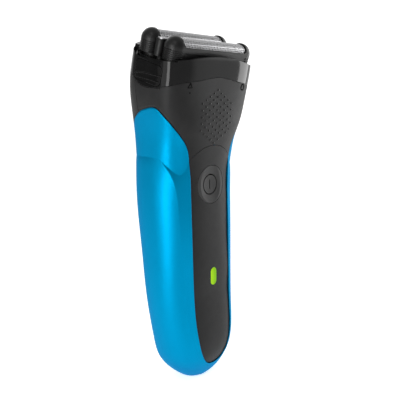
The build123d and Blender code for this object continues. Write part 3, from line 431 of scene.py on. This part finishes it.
def squeeze(obj, node):
    """The copy rides whole on the body that the spring belongs to, with a mesh of its own."""
    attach(obj, body_of(NODES[node])[0])
    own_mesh(obj)


# ---------------------------------------------------------------- small details on the casing
DOT_RADIUS, DOT_HEIGHT = 0.45 * MM, 0.34 * MM
DOT_FIELD = (10.8 * MM, 11.0 * MM)  # half width and half height of the oval of dots
DOT_PITCH = (2.3 * MM, 2.75 * MM)
DOT_FIELD_UNDER_COLLAR = 16.5 * MM  # from the top of the front casing to the middle of the oval
SINK = 0.05 * MM  # how far a raised detail reaches into the skin below it
MARK_X, MARK_SIZE, MARK_DROP = 16.7 * MM, 1.2 * MM, 4.2 * MM
MARK_WIDTH, MARK_HEIGHT = 0.55 * MM, 0.12 * MM
MARK_DOT = 0.35 * MM
ICON_RING, ICON_WIDTH, ICON_BAR = 4.35 * MM, 0.44 * MM, 4.0 * MM
ICON_HEIGHT = 0.05 * MM
TOWARDS_FRONT = Vector((0, -1, 0))


def dome(verts, faces, place, normal, radius, height, sides=12, rings=3):
    """Adds a low round stud to a mesh under construction."""
    across = normal.cross(Vector((0.3, 0.2, 1))).normalized()
    along = normal.cross(across)
    start = len(verts)
    for ring in range(rings + 1):
        turn = math.pi / 2 * ring / rings
        r, h = radius * math.cos(turn), height * math.sin(turn)
        if ring == rings:
            verts.append(place + normal * height)
            break
        if ring == 0:
            h = -SINK
        for k in range(sides):
            t = 2 * math.pi * k / sides
            verts.append(place + across * (r * math.cos(t)) + along * (r * math.sin(t)) + normal * h)
    for ring in range(rings - 1):
        for k in range(sides):
            a = start + ring * sides + k
            b = start + ring * sides + (k + 1) % sides
            faces.append((a, b, b + sides, a + sides))
    top = start + rings * sides
    for k in range(sides):
        a = start + (rings - 1) * sides + k
        b = start + (rings - 1) * sides + (k + 1) % sides
        faces.append((a, b, top))
    faces.append(tuple(reversed([start + k for k in range(sides)])))


def front_point(tree, x, z):
    """Where a line from the front meets a skin, and the skin's direction there."""
    place, normal, _, _ = tree.ray_cast(Vector((x, -1, z)), Vector((0, 1, 0)))
    if normal is not None and normal.y > 0:
        normal = -normal
    return place, normal


def grip_dots():
    """The staggered oval of small studs on the front casing, coloured darker than the casing as painted
    shade.
    """
    skin = surface("front_casing")
    centre = front_top("front_casing") - DOT_FIELD_UNDER_COLLAR
    verts, faces = [], []
    columns = int(DOT_FIELD[0] / DOT_PITCH[0])
    rows = int(DOT_FIELD[1] / DOT_PITCH[1]) + 1
    for column in range(-columns, columns + 1):
        for row in range(-rows, rows + 1):
            x = column * DOT_PITCH[0]
            z = (row + 0.5 * (column % 2)) * DOT_PITCH[1]
            if (x / DOT_FIELD[0]) ** 2 + (z / DOT_FIELD[1]) ** 2 > 1:
                continue
            place, normal = front_point(skin, x, centre + z)
            if place is not None:
                dome(verts, faces, place, normal, DOT_RADIUS, DOT_HEIGHT)
    return piece("grip_dots", verts, faces, "handle", "stud")


def front_top(node):
    """The height of a skin's top edge in the middle of the front."""
    mesh = NODES[node].data
    return max(v.co.z for v in mesh.vertices if abs(v.co.x) < 1.5 * MM)


def ribbon(verts, faces, line, width, height, closed=False):
    """Adds a raised strip along points that carry their normals."""
    count = len(line)
    for k, (place, normal) in enumerate(line):
        before = line[k - 1][0] if closed or k else place
        after = line[(k + 1) % count][0] if closed or k < count - 1 else place
        side = (after - before).cross(normal).normalized() * width / 2
        base = normal * -SINK
        for offset in (-side + base, -side + normal * height, side + normal * height, side + base):
            verts.append(place + offset)
    start = len(verts) - 4 * count
    for k in range(count if closed else count - 1):
        n = (k + 1) % count
        for c in range(4):
            d = (c + 1) % 4
            faces.append((start + 4 * k + c, start + 4 * n + c, start + 4 * n + d, start + 4 * k + d))
    if not closed:
        faces.append(tuple(start + c for c in range(4)))
        faces.append(tuple(reversed([start + 4 * (count - 1) + c for c in range(4)])))


def lock_marks():
    """Two tiny generic marks under the collar: a triangle over a dot on the left, a ring on the right."""
    skin = surface("front_casing")
    top = front_top("front_casing")
    marks = {"mark_open": (-MARK_X, 3), "mark_closed": (MARK_X, 16)}
    for name, (x, sides) in marks.items():
        verts, faces, line = [], [], []
        for k in range(sides):
            t = 2 * math.pi * k / sides + math.pi / 2
            place, normal = front_point(
                skin, x + MARK_SIZE * math.cos(t), top - MARK_DROP + MARK_SIZE * math.sin(t)
            )
            line.append((place, normal))
        ribbon(verts, faces, line, MARK_WIDTH, MARK_HEIGHT, closed=True)
        place, normal = front_point(skin, x + 0.1 * MARK_SIZE, top - MARK_DROP - 2.1 * MARK_SIZE)
        if sides == 3 and place is not None:
            dome(verts, faces, place, normal, MARK_DOT, MARK_HEIGHT)
        piece(name, verts, faces, "handle", "icon")


def button_icon():
    """A black strip along the power button's engraved ring and bar."""
    skin = surface("power_button")
    centre = middle("power_button")
    verts, faces, ring = [], [], []
    for k in range(48):
        t = 2 * math.pi * k / 48
        place, _ = front_point(skin, ICON_RING * math.cos(t), centre.z + ICON_RING * math.sin(t))
        ring.append((place, TOWARDS_FRONT))
    ribbon(verts, faces, ring, ICON_WIDTH, ICON_HEIGHT, closed=True)
    bar = []
    for k in range(5):
        place, _ = front_point(skin, 0, centre.z + (k / 4 - 0.5) * ICON_BAR)
        bar.append((place, TOWARDS_FRONT))
    ribbon(verts, faces, bar, ICON_WIDTH, ICON_HEIGHT)
    return piece("button_icon", verts, faces, "power_button", "icon", smooth=False)


# ---------------------------------------------------------------- camera, light and floor
CAMERA_PLACE = Vector((-0.16314, -0.15383, 0.12796))
CAMERA_AIM = Vector((0.0002, -0.0053, 0.0844))
CAMERA_ROLL = math.radians(-0.95)
CAMERA_SENSOR = 36  # mm wide
CAMERA_LENS = 45.1  # mm

# Level directions from the camera's place, fixed in the world.
AHEAD = Vector((CAMERA_AIM.x - CAMERA_PLACE.x, CAMERA_AIM.y - CAMERA_PLACE.y, 0)).normalized()
LEFTWARD = Vector((0, 0, 1)).cross(AHEAD)


def add_camera():
    data = bpy.data.cameras.new("camera")
    data.lens = CAMERA_LENS
    data.sensor_width = CAMERA_SENSOR
    data.clip_start = 0.01
    camera = bpy.data.objects.new("camera", data)
    bpy.context.scene.collection.objects.link(camera)
    look = (CAMERA_AIM - CAMERA_PLACE).to_track_quat("-Z", "Y").to_matrix().to_4x4()
    camera.matrix_world = Matrix.Translation(CAMERA_PLACE) @ look @ Matrix.Rotation(CAMERA_ROLL, 4, "Z")
    bpy.context.scene.camera = camera


def soft_box(name, place, aim, size, radiance):
    """A rectangular light facing a point, as bright over its whole face as the radiance says."""
    data = bpy.data.lights.new(name, "AREA")
    data.shape = "RECTANGLE"
    data.size, data.size_y = size
    data.energy = radiance * math.pi * size[0] * size[1]
    light = bpy.data.objects.new(name, data)
    bpy.context.scene.collection.objects.link(light)
    facing = (Vector(aim) - Vector(place)).to_track_quat("-Z", "Y").to_matrix().to_4x4()
    light.matrix_world = Matrix.Translation(place) @ facing
    light.visible_camera = False


def round_about(degrees, distance, height):
    """A place at a height, turned to the left from straight ahead of the camera."""
    turn = math.radians(degrees)
    return (AHEAD * math.cos(turn) + LEFTWARD * math.sin(turn)) * distance + Vector((0, 0, height))


def add_lights():
    """A tall strip close on the left, a broad box further round, a low one in front and one overhead."""
    soft_box("left_strip", round_about(152, 0.21, 0.10), (0, 0, 0.10), (0.06, 0.20), 6.0)
    soft_box("left_box", round_about(132, 0.5, 0.2), (0, 0, 0.1), (0.25, 0.5), 0.9)
    soft_box("low_box", (-0.06, -0.14, 0.004), (-0.018, -0.012, 0.113), (0.10, 0.08), 1.2)
    soft_box("right_box", round_about(-64, 0.5, 0.2), (0, 0, 0.12), (0.20, 0.5), 4.0)
    soft_box("top_box", round_about(175, 0.45, 0.55), (0, 0, 0.13), (0.2, 0.2), 3.0)

# Brightness of the studio round the horizon. Degrees are measured from straight ahead of the
# camera, to the left: white paper ahead and a dimmer room behind.
STUDIO = [
    (-180, 0.22),
    (-66, 0.22),
    (-38, 1.30),
    (40, 1.30),
    (64, 0.22),
]
OVERHEAD = 0.5
OVERHEAD_FROM, OVERHEAD_TO = 0.6, 0.9  # how far up a direction points where the walls give way to it

# The floor's painted shade, by distance ahead of the shaver in metres: darker towards the camera, white
# beyond the shaver.
FLOOR_RADIUS = 6
FLOOR_PAINTED_SHADE_AT, FLOOR_WHITE_AT = -0.16, -0.04
FLOOR_PAINTED_SHADE, FLOOR_WHITE = (0.48, 0.48, 0.48), (0.9, 0.9, 0.9)
# The floor's glow is painted light: it lifts the whole floor, its shadows too, towards white.
FLOOR_PAINTED_GLOW = 0.72


def round_the_camera(tree, vector):
    """How far a direction is turned from straight ahead of the camera, as 0..1 over the whole circle."""
    dots = []
    for direction in (LEFTWARD, AHEAD):
        dot = tree.nodes.new("ShaderNodeVectorMath")
        dot.operation = "DOT_PRODUCT"
        dot.inputs[1].default_value = direction
        tree.links.new(vector, dot.inputs[0])
        dots.append(dot.outputs["Value"])
    turn = tree.nodes.new("ShaderNodeMath")
    turn.operation = "ARCTAN2"
    tree.links.new(dots[0], turn.inputs[0])
    tree.links.new(dots[1], turn.inputs[1])
    share = tree.nodes.new("ShaderNodeMapRange")
    share.inputs["From Min"].default_value = -math.pi
    share.inputs["From Max"].default_value = math.pi
    tree.links.new(turn.outputs["Value"], share.inputs["Value"])
    return share.outputs["Result"]


def add_studio():
    """The room: its brightness round the horizon, evening out overhead."""
    world = bpy.data.worlds.new("studio")
    bpy.context.scene.world = world
    world.use_nodes = True
    tree = world.node_tree
    place = tree.nodes.new("ShaderNodeTexCoord")
    brightest = max(level for _, level in STUDIO)
    wall = tree.nodes.new("ShaderNodeValToRGB")
    stops = wall.color_ramp.elements
    while len(stops) < len(STUDIO):
        stops.new(0.5)
    for stop, (degrees, level) in zip(stops, STUDIO):
        stop.position = (degrees + 180) / 360
        stop.color = (level / brightest,) * 3 + (1,)
    tree.links.new(round_the_camera(tree, place.outputs["Generated"]), wall.inputs["Fac"])
    split = tree.nodes.new("ShaderNodeSeparateXYZ")
    tree.links.new(place.outputs["Generated"], split.inputs["Vector"])
    rise = tree.nodes.new("ShaderNodeMapRange")
    rise.inputs["From Min"].default_value = OVERHEAD_FROM
    rise.inputs["From Max"].default_value = OVERHEAD_TO
    tree.links.new(split.outputs["Z"], rise.inputs["Value"])
    mix = tree.nodes.new("ShaderNodeMixRGB")
    mix.inputs["Color2"].default_value = (OVERHEAD / brightest,) * 3 + (1,)
    tree.links.new(rise.outputs["Result"], mix.inputs["Fac"])
    tree.links.new(wall.outputs["Color"], mix.inputs["Color1"])
    background = tree.nodes["Background"]
    background.inputs["Strength"].default_value = brightest
    tree.links.new(mix.outputs["Color"], background.inputs["Color"])


def add_floor():
    """A broad pale floor with a glow of painted light, white beyond the shaver, with painted shade towards
    the camera on the dim side of the room.
    """
    bpy.ops.mesh.primitive_circle_add(vertices=96, radius=FLOOR_RADIUS, fill_type="NGON")
    floor = bpy.context.object
    floor.name = "floor"
    material, tree, shader = new_material("pale_paper_painted_shade_and_glow")
    place = tree.nodes.new("ShaderNodeTexCoord")
    dot = tree.nodes.new("ShaderNodeVectorMath")
    dot.operation = "DOT_PRODUCT"
    dot.inputs[1].default_value = AHEAD
    tree.links.new(place.outputs["Object"], dot.inputs[0])
    along = tree.nodes.new("ShaderNodeMapRange")
    along.inputs["From Min"].default_value = FLOOR_PAINTED_SHADE_AT
    along.inputs["From Max"].default_value = FLOOR_WHITE_AT
    tree.links.new(dot.outputs["Value"], along.inputs["Value"])
    # Painted shade in the floor's colour and glow, darker towards the camera; the emission is painted light.
    shade = ramp(tree, along.outputs["Result"], FLOOR_PAINTED_SHADE, FLOOR_WHITE, 0.0, 1.0)
    tree.links.new(shade, shader.inputs["Base Color"])
    tree.links.new(shade, shader.inputs["Emission Color"])
    set_input(shader, Roughness=0.9, Emission_Strength=FLOOR_PAINTED_GLOW)
    bump = tree.nodes.new("ShaderNodeBump")
    bump.inputs["Distance"].default_value = 0.00002
    tree.links.new(object_noise(tree, 1500, 2.0), bump.inputs["Height"])
    tree.links.new(bump.outputs["Normal"], shader.inputs["Normal"])
    floor.data.materials.append(material)


# ---------------------------------------------------------------- the model
add_camera()
add_lights()
add_studio()
add_floor()
paint_frame()
perforated_foil("front_foil_sheet", "front_foil", "front_foil")
perforated_foil("rear_foil_sheet", "rear_foil", "rear_foil")
yielding_pieces()
grip_dots()
lock_marks()
button_icon()

bpy.context.scene.view_settings.view_transform = "Standard"
